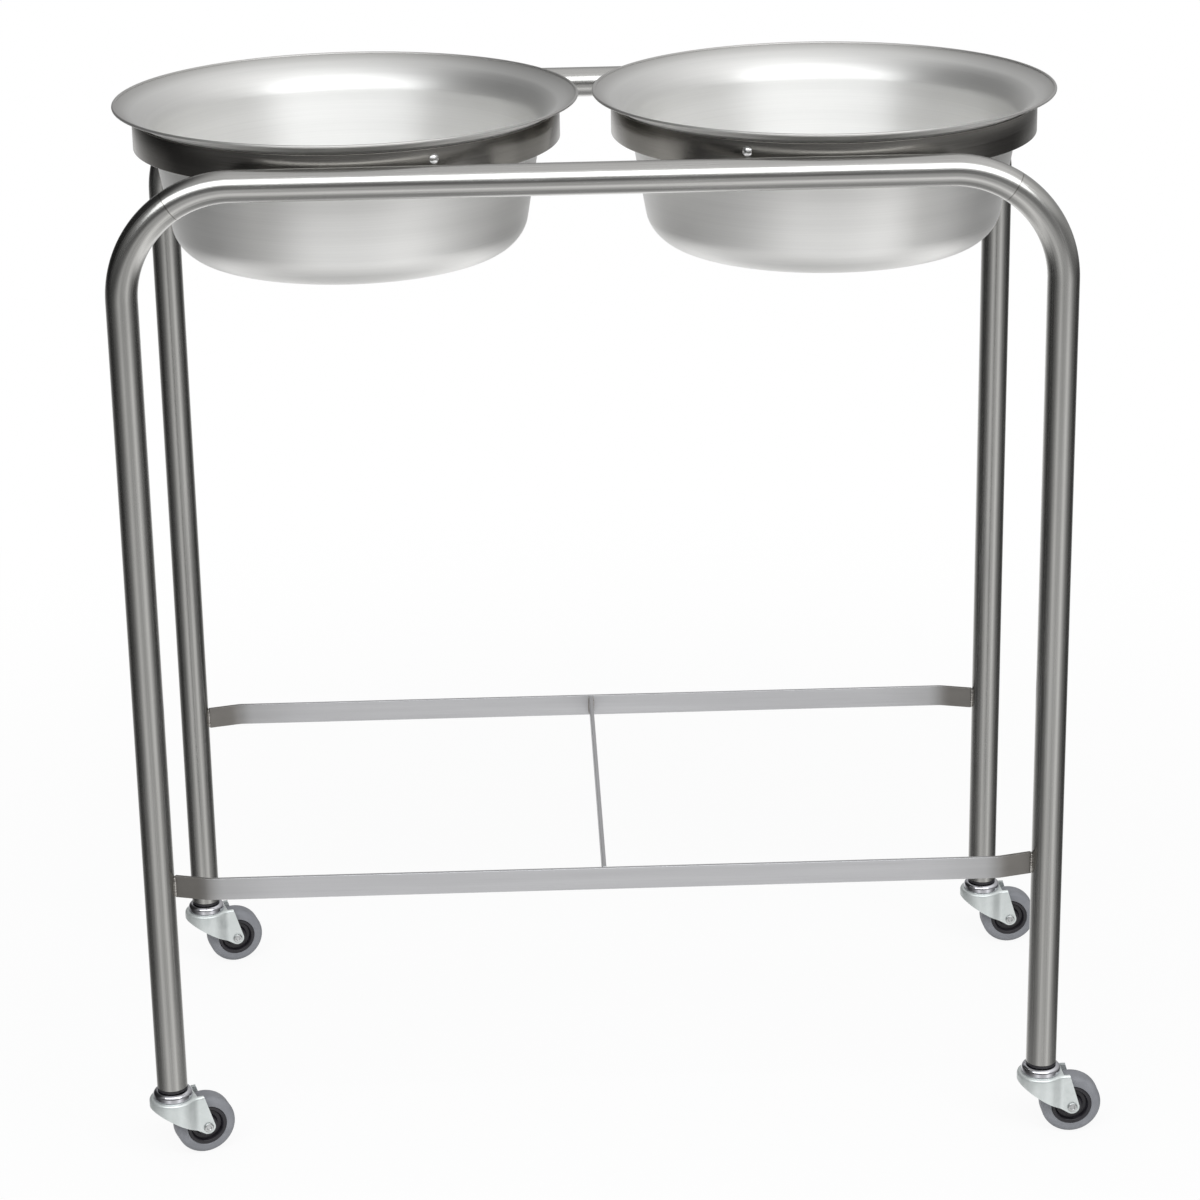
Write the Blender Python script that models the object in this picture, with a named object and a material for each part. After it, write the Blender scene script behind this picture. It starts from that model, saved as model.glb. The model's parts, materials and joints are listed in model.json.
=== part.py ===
# Double basin stand: two bent tube frames hold two hoops with lift-out basins, on four swivel casters.
# Metres, +Z up. The floor is z = 0 and the origin is on the floor in the middle of the four legs.

from math import acos, atan2, cos, hypot, pi, radians, sin, tan

import bmesh
import bpy
from mathutils import Vector

MM = 0.001

# Clearances
FIT_GAP = 0.3 * MM              # between pieces that touch on the real stand
RUN_GAP = 0.15 * MM             # round the bush that the wheel turns on

# Tube frames
TUBE_DIAMETER = 25.4 * MM
TUBE_WALL = 1.5 * MM
TUBE_BEND_RADIUS = 89.0 * MM    # to the centre line
LEG_SPACING = 734.0 * MM        # centre to centre
RAIL_HEIGHT = 834.0 * MM        # floor to the rail's centre line

# Hoops
RING_RADIUS = 174.5 * MM        # outside
RING_STRIP = 3.2 * MM
RING_WIDTH = 25.4 * MM
RING_RISE = 20.0 * MM           # top edge above the rail's centre line

# Rivets in the hoops
RIVET_ANGLE = radians(25.0)     # from the front of the hoop towards the middle of the stand
RIVET_DROP = 8.5 * MM           # below the hoop's top edge
RIVET_RADIUS = 2.0 * MM
RIVET_HEAD_RADIUS = 4.0 * MM
RIVET_HEAD_HEIGHT = 1.8 * MM
RIVET_TAIL_HEIGHT = 1.0 * MM

# Basins
BASIN_SHEET = 1.1 * MM
BASIN_DEPTH = 127.0 * MM        # rim to the underside of the floor
BASIN_RIM_OVERHANG = 15.5 * MM  # rim outside the hoop
BASIN_RIM_GAP = 11.0 * MM       # between the two rims
BASIN_WALL_CLEARANCE = 9.5 * MM  # wall inside the hoop
BASIN_RIM_ANGLE = radians(24.5)
BASIN_WALL_TAPER = radians(9.8)
BASIN_CORNER_RADIUS = 30.0 * MM
BASIN_RIM_BEND = 8.0 * MM

# Brace bars
BAR_STRIP = 3.2 * MM
BAR_WIDTH = 19.0 * MM
BAR_HEIGHT = 248.0 * MM         # floor to the bar's middle
BAR_BOW = 8.0 * MM              # main run outside the plane of the legs
BAR_END_RUN = 28.0 * MM         # length of the bent end along the bar
BAR_BEND_RADIUS = 12.0 * MM

# Casters
WHEEL_DIAMETER = 50.8 * MM
TYRE_WIDTH = 20.0 * MM
TYRE_SHOULDER = 4.5 * MM
HUB_RADIUS = 16.7 * MM
HUB_WIDTH = 22.0 * MM
HUB_RIM = 2.6 * MM
HUB_BOSS = 3.4 * MM
HUB_RECESS = 3.2 * MM           # depth of the dished web on each side
HUB_DRAFT = 1.3 * MM            # slope of the web's sides
HUB_SIDE_GAP = 0.5 * MM         # hub to fork cheek
TRAIL = 25.5 * MM               # swivel axis to axle
FORK_SHEET = 1.9 * MM
FORK_NOSE_RADIUS = 20.0 * MM
FORK_NOSE_DEPTH = 6.0 * MM
FORK_BOSS_RADIUS = 6.1 * MM
FORK_TIP_SETBACK = 2.5 * MM     # rear tip of the cheek ahead of the axle
FORK_WAIST_FRONT = 9.0 * MM     # the cheeks draw in between these two places behind the stem
FORK_WAIST_REAR = 16.0 * MM
CROWN_CLEARANCE = 2.2 * MM      # wheel to crown
AXLE_RADIUS = 3.0 * MM
AXLE_HEAD_RADIUS = 4.2 * MM
AXLE_HEAD_HEIGHT = 1.5 * MM
BUSH_WALL = 1.7 * MM
CUP_RADIUS = 16.5 * MM
CUP_HEIGHT = 6.4 * MM
CUP_WALL = 1.2 * MM
CUP_ROUND = 3.7 * MM
STEM_RADIUS = 5.0 * MM
STEM_HEAD_RADIUS = 7.0 * MM
STEM_HEAD_HEIGHT = 3.0 * MM
COLLAR_THICKNESS = 2.7 * MM
SLEEVE_LENGTH = 35.0 * MM
STEM_SETBACK = 5.0 * MM         # stem's top below the sleeve's top
HEAD_ROUND = 0.7                # rounding of a peened head, as a share of its height

# Corner name: side along X, side along Y, and where the wheel trails, turned from +X towards +Y
CASTERS = {
    "front_left": (-1, -1, radians(22.0)),
    "front_right": (1, -1, radians(2.0)),
    "rear_left": (-1, 1, radians(18.0)),
    "rear_right": (1, 1, radians(4.0)),
}

# Facets
TUBE_SIDES = 16
BEND_STEPS = 6
BASIN_SIDES = 36
WHEEL_SIDES = 20
CUP_SIDES = 16
PIN_SIDES = 10
RACE_SIDES = 6
ARC_STEPS = 4
BASIN_ARC_STEPS = 3
SMALL_ARC_STEPS = 2
SMOOTH_ANGLE = radians(35.0)
MERGE = 0.001 * MM

# Sizes that follow from the ones above
TUBE_RADIUS = TUBE_DIAMETER / 2
TUBE_BORE = TUBE_RADIUS - TUBE_WALL
FRAME_SPACING = 2 * (RING_RADIUS + FIT_GAP + TUBE_RADIUS)
RING_TOP = RAIL_HEIGHT + RING_RISE
RIM_RADIUS = RING_RADIUS + BASIN_RIM_OVERHANG
BASIN_SPACING = 2 * RIM_RADIUS + BASIN_RIM_GAP
BAR_OFFSET = FRAME_SPACING / 2 + BAR_BOW
WHEEL_RADIUS = WHEEL_DIAMETER / 2
CROWN_UNDER = WHEEL_DIAMETER + CROWN_CLEARANCE
CROWN_TOP = CROWN_UNDER + FORK_SHEET
CUP_BASE = CROWN_TOP + FIT_GAP
CUP_TOP = CUP_BASE + CUP_HEIGHT
COLLAR_BASE = CUP_TOP + FIT_GAP
COLLAR_TOP = COLLAR_BASE + COLLAR_THICKNESS
LEG_END = COLLAR_TOP + FIT_GAP
SLEEVE_TOP = COLLAR_TOP + SLEEVE_LENGTH
BUSH_RADIUS = AXLE_RADIUS + FIT_GAP + BUSH_WALL
FORK_INSIDE = HUB_WIDTH / 2 + HUB_SIDE_GAP
FORK_OUTSIDE = FORK_INSIDE + FORK_SHEET

# Finish name: colour, roughness, metallic
FINISHES = {
    "satin_tube": ((0.60, 0.59, 0.57), 0.34, 1.0),
    "brushed_strip": ((0.66, 0.66, 0.66), 0.40, 1.0),
    "spun_steel": ((0.70, 0.69, 0.67), 0.30, 1.0),
    "bright_steel": ((0.72, 0.72, 0.72), 0.22, 1.0),
    "chrome": ((0.80, 0.80, 0.82), 0.08, 1.0),
    "zinc": ((0.66, 0.68, 0.68), 0.36, 1.0),
    "black_plastic": ((0.015, 0.013, 0.018), 0.45, 0.0),
    "grey_rubber": ((0.19, 0.195, 0.21), 0.75, 0.0),
}


def across_flats(radius, sides):
    """Corner radius of a polygon whose flats lie at the given radius."""
    return radius / cos(pi / sides)


def arc(centre, radius, start, end, steps=ARC_STEPS):
    """Points of an arc in the plane, both ends included."""
    turns = [start + (end - start) * i / steps for i in range(steps + 1)]
    return [(centre[0] + radius * cos(a), centre[1] + radius * sin(a)) for a in turns]


def rounded(corners, radii, steps=ARC_STEPS):
    """An open line through the corners, with each inner corner rounded to its radius."""
    points = [corners[0]]
    for before, corner, after, radius in zip(corners, corners[1:], corners[2:], radii):
        here = Vector(corner)
        back = (Vector(before) - here).normalized()
        ahead = (Vector(after) - here).normalized()
        half = back.angle(ahead) / 2
        centre = here + (back + ahead).normalized() * radius / sin(half)
        first = here + back * radius / tan(half) - centre
        turn = pi - 2 * half
        if back.cross(ahead) > 0:
            turn = -turn
        start = atan2(first.y, first.x)
        points += arc(centre, radius, start, start + turn, steps)
    return points + [corners[-1]]


def offset_line(points, distance):
    """The line moved sideways to its left by the distance."""
    moved = []
    for i, point in enumerate(points):
        here = Vector(point)
        before = Vector(points[max(i - 1, 0)])
        after = Vector(points[min(i + 1, len(points) - 1)])
        incoming = (here - before).normalized() if i else (after - here).normalized()
        outgoing = (after - here).normalized() if i < len(points) - 1 else incoming
        along = (incoming + outgoing).normalized()
        stretch = max(along.dot(outgoing), 0.5)
        side = Vector((-along.y, along.x)) * distance / stretch
        moved.append(tuple(here + side))
    return moved


def turned(profile, sides, turn=0.0):
    """A solid turned about Z. The profile is a closed loop, or runs from the axis to the axis."""
    shape = bmesh.new()
    verts = [shape.verts.new((r * cos(turn), r * sin(turn), z)) for r, z in profile]
    ends = verts if profile[0][0] == 0 else verts + verts[:1]
    edges = [shape.edges.new(pair) for pair in zip(ends, ends[1:])]
    bmesh.ops.spin(shape, geom=verts + edges, axis=(0, 0, 1), angle=2 * pi, steps=sides, use_merge=True)
    bmesh.ops.remove_doubles(shape, verts=shape.verts, dist=MERGE)
    bmesh.ops.recalc_face_normals(shape, faces=shape.faces)
    return shape


def prism(outline, low, high):
    """A plane outline extruded along Z."""
    shape = bmesh.new()
    face = shape.faces.new([shape.verts.new((x, y, low)) for x, y in outline])
    grown = bmesh.ops.extrude_face_region(shape, geom=[face])["geom"]
    top = [item for item in grown if isinstance(item, bmesh.types.BMVert)]
    bmesh.ops.translate(shape, verts=top, vec=(0, 0, high - low))
    bmesh.ops.recalc_face_normals(shape, faces=shape.faces)
    return shape


def stand_on_edge(shape):
    """Turn a shape drawn in X and Y so that its Y becomes Z and its Z becomes -Y."""
    turn = Vector((0, 0, 1)).rotation_difference(Vector((0, -1, 0))).to_matrix()
    bmesh.ops.rotate(shape, verts=shape.verts, matrix=turn)
    return shape


def to_mesh(name, shape):
    mesh = bpy.data.meshes.new(name)
    shape.to_mesh(mesh)
    shape.free()
    return mesh


def carve(mesh, cutter_shape, operation="DIFFERENCE"):
    """The mesh after a Boolean with the cutter."""
    body = bpy.data.objects.new("carved", mesh)
    cutter = bpy.data.objects.new("cutter", to_mesh("cutter", cutter_shape))
    bpy.context.collection.objects.link(body)
    bpy.context.collection.objects.link(cutter)
    cut = body.modifiers.new("cut", "BOOLEAN")
    cut.operation = operation
    cut.solver = "EXACT"
    cut.object = cutter
    ready = body.evaluated_get(bpy.context.evaluated_depsgraph_get())
    result = bpy.data.meshes.new_from_object(ready)
    bpy.data.objects.remove(body)
    bpy.data.objects.remove(cutter)
    return result


def place(name, mesh, finish, location=(0, 0, 0), rotation=(0, 0, 0), parent=None):
    """One named sub-part with its own material."""
    colour, roughness, metallic = FINISHES[finish]
    material = bpy.data.materials.new(name)
    material.use_nodes = True
    shader = material.node_tree.nodes["Principled BSDF"]
    shader.inputs["Base Color"].default_value = (*colour, 1.0)
    shader.inputs["Roughness"].default_value = roughness
    shader.inputs["Metallic"].default_value = metallic
    own_mesh = mesh.copy()
    own_mesh.name = name
    own_mesh.materials.clear()
    own_mesh.materials.append(material)
    own_mesh.shade_smooth()
    own_mesh.set_sharp_from_angle(angle=SMOOTH_ANGLE)
    item = bpy.data.objects.new(name, own_mesh)
    item.location = location
    item.rotation_euler = rotation
    item.parent = parent
    bpy.context.collection.objects.link(item)
    return item


def pivot(name, location, rotation=(0, 0, 0), parent=None):
    """An empty on a joint's axis."""
    item = bpy.data.objects.new(name, None)
    item.location = location
    item.rotation_euler = rotation
    item.parent = parent
    bpy.context.collection.objects.link(item)
    return item


def frame_tube_mesh():
    """A hollow tube bent into an inverted U, its legs down to the casters."""
    half = LEG_SPACING / 2
    bend_height = RAIL_HEIGHT - TUBE_BEND_RADIUS
    shape = bmesh.new()
    bmesh.ops.create_circle(shape, segments=TUBE_SIDES, radius=TUBE_RADIUS)
    bmesh.ops.create_circle(shape, segments=TUBE_SIDES, radius=TUBE_BORE)
    bmesh.ops.bridge_loops(shape, edges=shape.edges[:])
    bmesh.ops.translate(shape, verts=shape.verts, vec=(-half, 0, LEG_END))
    section = shape.verts[:] + shape.edges[:] + shape.faces[:]

    def run(end, move):
        grown = bmesh.ops.extrude_face_region(shape, geom=end)["geom"]
        verts = [item for item in grown if isinstance(item, bmesh.types.BMVert)]
        bmesh.ops.translate(shape, verts=verts, vec=move)
        return grown

    def bend(end, centre_x):
        centre = (centre_x, 0, bend_height)
        arc_of = {"axis": (0, 1, 0), "angle": pi / 2, "steps": BEND_STEPS}
        return bmesh.ops.spin(shape, geom=end, cent=centre, **arc_of)["geom_last"]

    leg = bend_height - LEG_END
    rail = LEG_SPACING - 2 * TUBE_BEND_RADIUS
    end = run(section, (0, 0, leg))
    end = bend(end, -half + TUBE_BEND_RADIUS)
    end = run(end, (rail, 0, 0))
    end = bend(end, half - TUBE_BEND_RADIUS)
    run(end, (0, 0, -leg))
    bmesh.ops.recalc_face_normals(shape, faces=shape.faces)
    return to_mesh("frame_tube", shape)


def rivet_place(side):
    """Middle of the rivet's flat on the hoop of that side, and its heading about Z."""
    heading = -pi / 2 - side * RIVET_ANGLE
    flat = RING_RADIUS * cos(pi / BASIN_SIDES)
    centre_x = side * BASIN_SPACING / 2
    return (centre_x + flat * cos(heading), flat * sin(heading), RING_TOP - RIVET_DROP), heading


def ring_mesh(side):
    """A hoop of flat strip with the hole for its rivet, about its own axis with its top at z = 0."""
    inside = RING_RADIUS - RING_STRIP
    section = [(inside, -RING_WIDTH), (RING_RADIUS, -RING_WIDTH), (RING_RADIUS, 0), (inside, 0)]
    hoop = to_mesh("hoop", turned(section, BASIN_SIDES))
    where, heading = rivet_place(side)
    hole_radius = RIVET_RADIUS + FIT_GAP
    reach = 2 * RING_STRIP
    drill = turned([(0, -reach), (hole_radius, -reach), (hole_radius, reach), (0, reach)], PIN_SIDES)
    aim_rivet(drill, heading)
    bmesh.ops.translate(drill, verts=drill.verts, vec=Vector(where) - Vector(ring_centre(side)))
    return carve(hoop, drill)


def ring_centre(side):
    return (side * BASIN_SPACING / 2, 0, RING_TOP)


def aim_rivet(shape, heading):
    """Lay a shape drawn along Z so that its +Z points out of the hoop."""
    outward = Vector((cos(heading), sin(heading), 0))
    turn = Vector((0, 0, 1)).rotation_difference(outward).to_matrix()
    bmesh.ops.rotate(shape, verts=shape.verts, matrix=turn)


def rivet_mesh(heading):
    """Domed head outside the hoop, a shank and a low tail inside. The hoop's outer face is z = 0."""
    under_head = FIT_GAP
    inner_face = -RING_STRIP - FIT_GAP
    dome = (RIVET_HEAD_RADIUS ** 2 + RIVET_HEAD_HEIGHT ** 2) / (2 * RIVET_HEAD_HEIGHT)
    rise = acos((dome - RIVET_HEAD_HEIGHT) / dome)
    dome_centre = (0, under_head + RIVET_HEAD_HEIGHT - dome)
    crown = arc(dome_centre, dome, pi / 2 - rise, pi / 2, SMALL_ARC_STEPS)
    crown[-1] = (0, crown[-1][1])
    tail = inner_face - RIVET_TAIL_HEIGHT
    tail_radius = (RIVET_RADIUS + RIVET_HEAD_RADIUS) / 2
    profile = [
        (0, tail),
        (tail_radius, tail),
        (tail_radius, inner_face),
        (RIVET_RADIUS, inner_face),
        (RIVET_RADIUS, under_head),
    ]
    shape = turned(profile + crown, PIN_SIDES)
    aim_rivet(shape, heading)
    return to_mesh("rivet", shape)


def basin_mesh():
    """A spun bowl about its own axis, with z = 0 at the hoop's top edge that its rim rests on."""
    mouth = RING_RADIUS - RING_STRIP - BASIN_WALL_CLEARANCE
    rim_run = RIM_RADIUS - (RING_RADIUS - RING_STRIP)
    rim_under = FIT_GAP + rim_run * tan(BASIN_RIM_ANGLE)
    bend_under = rim_under - (RIM_RADIUS - mouth) * tan(BASIN_RIM_ANGLE)
    floor = rim_under + BASIN_SHEET - BASIN_DEPTH
    foot = mouth - (bend_under - floor) * tan(BASIN_WALL_TAPER)
    corners = [(0, floor), (foot, floor), (mouth, bend_under), (RIM_RADIUS, rim_under)]
    outside = rounded(corners, [BASIN_CORNER_RADIUS, BASIN_RIM_BEND], BASIN_ARC_STEPS)
    inside = offset_line(outside, BASIN_SHEET)
    inside[0] = (0, inside[0][1])
    return to_mesh("basin", turned(outside + inside[::-1], BASIN_SIDES))


def brace_mesh():
    """A flat strip on edge whose ends bend in to the legs, drawn for the front of the stand."""
    slope = atan2(BAR_BOW, BAR_END_RUN)
    reach = LEG_SPACING / 2 - TUBE_RADIUS - FIT_GAP - BAR_STRIP / 2 * sin(slope)
    bend = reach - BAR_END_RUN
    legs = -FRAME_SPACING / 2
    main = -BAR_OFFSET
    corners = [(-reach, legs), (-bend, main), (bend, main), (reach, legs)]
    line = rounded(corners, [BAR_BEND_RADIUS, BAR_BEND_RADIUS])
    outline = offset_line(line, BAR_STRIP / 2) + offset_line(line, -BAR_STRIP / 2)[::-1]
    return to_mesh("brace", prism(outline, -BAR_WIDTH / 2, BAR_WIDTH / 2))


def cross_bar_mesh():
    """The straight strip between the two brace bars."""
    half = BAR_OFFSET - BAR_STRIP / 2 - FIT_GAP
    side = BAR_STRIP / 2
    outline = [(-side, -half), (side, -half), (side, half), (-side, half)]
    return to_mesh("cross_bar", prism(outline, -BAR_WIDTH / 2, BAR_WIDTH / 2))


def socket_mesh():
    """Sleeve that plugs the leg, with a collar under the leg's end."""
    bore = STEM_RADIUS + FIT_GAP
    sleeve = TUBE_BORE - FIT_GAP
    profile = [
        (bore, COLLAR_BASE),
        (TUBE_RADIUS, COLLAR_BASE),
        (TUBE_RADIUS, COLLAR_TOP),
        (sleeve, COLLAR_TOP),
        (sleeve, SLEEVE_TOP),
        (bore, SLEEVE_TOP),
    ]
    return to_mesh("socket", turned(profile, TUBE_SIDES))


def stem_mesh():
    """Stem from the peened head under the fork's crown up into the sleeve."""
    head_top = CROWN_UNDER - FIT_GAP
    head_base = head_top - STEM_HEAD_HEIGHT
    dome = rounded(
        [(0, head_base), (STEM_HEAD_RADIUS, head_base), (STEM_HEAD_RADIUS, head_top)],
        [STEM_HEAD_HEIGHT * HEAD_ROUND],
        SMALL_ARC_STEPS,
    )
    top = SLEEVE_TOP - STEM_SETBACK
    shank = [(STEM_RADIUS, head_top), (STEM_RADIUS, top), (0, top)]
    return to_mesh("stem", turned(dome + shank, TUBE_SIDES))


def cup_mesh():
    """Domed cup over the swivel bearing."""
    bore = STEM_RADIUS + FIT_GAP
    corner = [(CUP_RADIUS, CUP_BASE), (CUP_RADIUS, CUP_TOP), (bore, CUP_TOP)]
    outside = rounded(corner, [CUP_ROUND], SMALL_ARC_STEPS)
    inside = offset_line(outside, CUP_WALL)
    return to_mesh("cup", turned(outside + inside[::-1], CUP_SIDES))


def race_mesh():
    """Round ring that stands for the balls and cage between the crown and the cup."""
    low = CROWN_TOP + FIT_GAP
    high = CUP_TOP - CUP_WALL - FIT_GAP
    radius = (high - low) / 2
    middle = (STEM_RADIUS + FIT_GAP + CUP_RADIUS - CUP_WALL) / 2
    section = arc((middle, (low + high) / 2), radius, 0, 2 * pi, RACE_SIDES)[:-1]
    return to_mesh("race", turned(section, CUP_SIDES))


def fork_plan(inset, rear):
    """Plan of the fork: a round nose about the stem that draws in to parallel cheeks."""
    nose = FORK_NOSE_RADIUS - inset
    cheek = FORK_OUTSIDE - inset
    waist = acos(FORK_WAIST_FRONT / FORK_NOSE_RADIUS)
    front = arc((0, 0), nose, waist, 2 * pi - waist, 3 * ARC_STEPS)
    return [(rear, cheek), (FORK_WAIST_REAR, cheek), *front, (FORK_WAIST_REAR, -cheek), (rear, -cheek)]


def boss_tangent(point, side):
    """Angle on the cheek's end, round the axle, where a line from the point touches it."""
    dx, dz = point[0] - TRAIL, point[1] - WHEEL_RADIUS
    return atan2(dz, dx) + side * acos(FORK_BOSS_RADIUS / hypot(dx, dz))


def fork_side():
    """Side outline of the cheeks: nose, rear tip and the round end about the axle."""
    nose = (-FORK_NOSE_RADIUS - FORK_SHEET, CROWN_TOP - FORK_NOSE_DEPTH)
    tip = (TRAIL - FORK_TIP_SETBACK, CROWN_TOP)
    above = CROWN_TOP + FORK_SHEET
    start = boss_tangent(tip, -1)
    end = boss_tangent(nose, 1) - 2 * pi
    boss = arc((TRAIL, WHEEL_RADIUS), FORK_BOSS_RADIUS, start, end, 2 * ARC_STEPS)
    return [nose, (nose[0], above), (tip[0], above), tip, *boss]


def fork_mesh():
    """Stamped fork: a crown round the stem and two cheeks that carry the axle."""
    low = WHEEL_RADIUS - 2 * FORK_BOSS_RADIUS
    rear = TRAIL + 2 * FORK_BOSS_RADIUS
    wide = 2 * FORK_NOSE_RADIUS
    mesh = to_mesh("fork", prism(fork_plan(0, rear), low, CROWN_TOP))
    mesh = carve(mesh, prism(fork_plan(FORK_SHEET, 2 * rear), low - FORK_SHEET, CROWN_UNDER))
    mesh = carve(mesh, stand_on_edge(prism(fork_side(), -wide, wide)), "INTERSECT")
    gap = [
        (FORK_WAIST_REAR + FORK_SHEET, -FORK_INSIDE),
        (rear, -FORK_INSIDE),
        (rear, FORK_INSIDE),
        (FORK_WAIST_REAR + FORK_SHEET, FORK_INSIDE),
    ]
    under = CROWN_UNDER - FORK_SHEET
    above = CROWN_TOP + FORK_SHEET
    mesh = carve(mesh, prism(gap, under, above))
    stem_hole = across_flats(STEM_RADIUS + FIT_GAP, PIN_SIDES)
    drill = [(0, under), (stem_hole, under), (stem_hole, above), (0, above)]
    mesh = carve(mesh, turned(drill, PIN_SIDES))
    axle_hole = AXLE_RADIUS + FIT_GAP
    drill = turned([(0, -wide), (axle_hole, -wide), (axle_hole, wide), (0, wide)], PIN_SIDES)
    stand_on_edge(drill)
    bmesh.ops.translate(drill, verts=drill.verts, vec=(TRAIL, 0, WHEEL_RADIUS))
    return carve(mesh, drill)


def axle_mesh():
    """Riveted axle along Z: a shank with a rounded head outside each cheek."""
    under = FORK_OUTSIDE + FIT_GAP
    end = under + AXLE_HEAD_HEIGHT
    corner = [(AXLE_HEAD_RADIUS, under), (AXLE_HEAD_RADIUS, end), (0, end)]
    upper = [(AXLE_RADIUS, under)] + rounded(corner, [AXLE_HEAD_HEIGHT * HEAD_ROUND], SMALL_ARC_STEPS)
    lower = [(r, -z) for r, z in reversed(upper)]
    return to_mesh("axle", turned(lower + upper, PIN_SIDES))


def bush_mesh():
    """Bush round the axle between the cheeks."""
    half = FORK_INSIDE - FIT_GAP
    bore = AXLE_RADIUS + FIT_GAP
    section = [(bore, -half), (BUSH_RADIUS, -half), (BUSH_RADIUS, half), (bore, half)]
    return to_mesh("bush", turned(section, PIN_SIDES))


def hub_mesh():
    """Dished hub along Z with a boss round the bush and a rim under the tyre."""
    bore = across_flats(BUSH_RADIUS + RUN_GAP, WHEEL_SIDES)
    half = HUB_WIDTH / 2
    rim = TYRE_WIDTH / 2
    web = rim - HUB_RECESS
    upper = [
        (HUB_RADIUS, rim),
        (HUB_RADIUS - HUB_RIM, rim),
        (HUB_RADIUS - HUB_RIM - HUB_DRAFT, web),
        (bore + HUB_BOSS + HUB_DRAFT, web),
        (bore + HUB_BOSS, half),
        (bore, half),
    ]
    lower = [(r, -z) for r, z in reversed(upper)]
    return to_mesh("hub", turned(upper + lower, WHEEL_SIDES, pi / WHEEL_SIDES))


def tyre_mesh():
    """Tyre along Z with rounded shoulders. It stands on a flat of its tread."""
    tread = across_flats(WHEEL_RADIUS, WHEEL_SIDES)
    inside = HUB_RADIUS + FIT_GAP
    half = TYRE_WIDTH / 2
    corners = [(inside, -half), (tread, -half), (tread, half), (inside, half)]
    profile = rounded(corners, [TYRE_SHOULDER] * 2, SMALL_ARC_STEPS)
    return to_mesh("tyre", turned(profile, WHEEL_SIDES, pi / WHEEL_SIDES))


def build_frame():
    tube = frame_tube_mesh()
    brace = brace_mesh()
    for name, side in (("front", -1), ("rear", 1)):
        place(f"{name}_frame_tube", tube, "satin_tube", (0, side * FRAME_SPACING / 2, 0))
        turn = pi if side > 0 else 0
        place(f"{name}_brace_bar", brace, "brushed_strip", (0, 0, BAR_HEIGHT), (0, 0, turn))
    place("cross_brace_bar", cross_bar_mesh(), "brushed_strip", (0, 0, BAR_HEIGHT))


def build_basins():
    basin = basin_mesh()
    for name, side in (("left", -1), ("right", 1)):
        where, heading = rivet_place(side)
        place(f"{name}_basin_ring", ring_mesh(side), "brushed_strip", ring_centre(side))
        place(f"{name}_ring_rivet", rivet_mesh(heading), "bright_steel", where)
        place(f"{name}_basin", basin, "spun_steel", ring_centre(side))


def build_casters():
    fixed = {
        "socket": (socket_mesh(), "black_plastic"),
        "stem": (stem_mesh(), "bright_steel"),
        "bearing_cup": (cup_mesh(), "chrome"),
    }
    swivelling = {"ball_race": (race_mesh(), "bright_steel"), "fork": (fork_mesh(), "zinc")}
    on_axle = {
        "axle": (axle_mesh(), "bright_steel"),
        "axle_bush": (bush_mesh(), "bright_steel"),
        "hub": (hub_mesh(), "black_plastic"),
        "tyre": (tyre_mesh(), "grey_rubber"),
    }
    for corner, (side_x, side_y, heading) in CASTERS.items():
        foot = (side_x * LEG_SPACING / 2, side_y * FRAME_SPACING / 2, 0)
        swivel = pivot(f"{corner}_swivel_axis", foot, (0, 0, heading))
        roll = pivot(f"{corner}_roll_axis", (TRAIL, 0, WHEEL_RADIUS), (pi / 2, 0, 0), swivel)
        for piece, (mesh, finish) in fixed.items():
            place(f"{corner}_{piece}", mesh, finish, foot)
        for piece, (mesh, finish) in swivelling.items():
            place(f"{corner}_{piece}", mesh, finish, parent=swivel)
        for piece, (mesh, finish) in on_axle.items():
            place(f"{corner}_{piece}", mesh, finish, parent=roll)


def main():
    for item in list(bpy.data.objects):
        bpy.data.objects.remove(item)
    build_frame()
    build_basins()
    build_casters()


main()
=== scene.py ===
import json
from math import acos, atan2, cos, hypot, pi, radians, sin, tan

import bmesh
import bpy
from mathutils import Matrix, Vector


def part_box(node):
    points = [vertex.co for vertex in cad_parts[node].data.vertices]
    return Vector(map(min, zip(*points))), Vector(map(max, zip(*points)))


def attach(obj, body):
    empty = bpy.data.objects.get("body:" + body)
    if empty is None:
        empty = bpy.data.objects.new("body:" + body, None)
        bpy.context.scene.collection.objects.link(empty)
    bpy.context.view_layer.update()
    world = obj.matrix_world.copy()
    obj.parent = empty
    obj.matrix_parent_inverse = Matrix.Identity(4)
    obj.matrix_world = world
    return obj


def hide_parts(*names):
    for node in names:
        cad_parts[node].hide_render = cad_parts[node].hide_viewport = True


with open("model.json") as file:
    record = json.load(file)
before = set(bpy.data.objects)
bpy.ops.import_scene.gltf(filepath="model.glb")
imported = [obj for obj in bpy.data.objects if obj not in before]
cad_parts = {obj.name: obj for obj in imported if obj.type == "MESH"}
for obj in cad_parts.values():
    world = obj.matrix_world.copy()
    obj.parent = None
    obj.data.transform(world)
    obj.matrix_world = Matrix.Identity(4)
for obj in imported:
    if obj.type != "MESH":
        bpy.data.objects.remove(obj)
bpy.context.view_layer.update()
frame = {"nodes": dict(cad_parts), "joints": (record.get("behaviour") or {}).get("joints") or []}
joints = {joint["name"]: joint for joint in frame["joints"]}
mm = 0.001
tiny = 0.001 * mm     # points this close are one
print("frame loaded:", len(frame["nodes"]), "nodes")


# node helpers

# each input is a socket to link or a plain value to set
def addNode(tree, kind, settings=None, inputs=None):
    node = tree.nodes.new(kind)
    for name, value in (settings or {}).items():
        setattr(node, name, value)
    for name, value in (inputs or {}).items():
        if isinstance(value, bpy.types.NodeSocket):
            tree.links.new(value, node.inputs[name])
        else:
            node.inputs[name].default_value = value
    return node


def mathNode(tree, operation, *inputs):
    return addNode(tree, "ShaderNodeMath", {"operation": operation}, dict(enumerate(inputs))).outputs[0]


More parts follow.
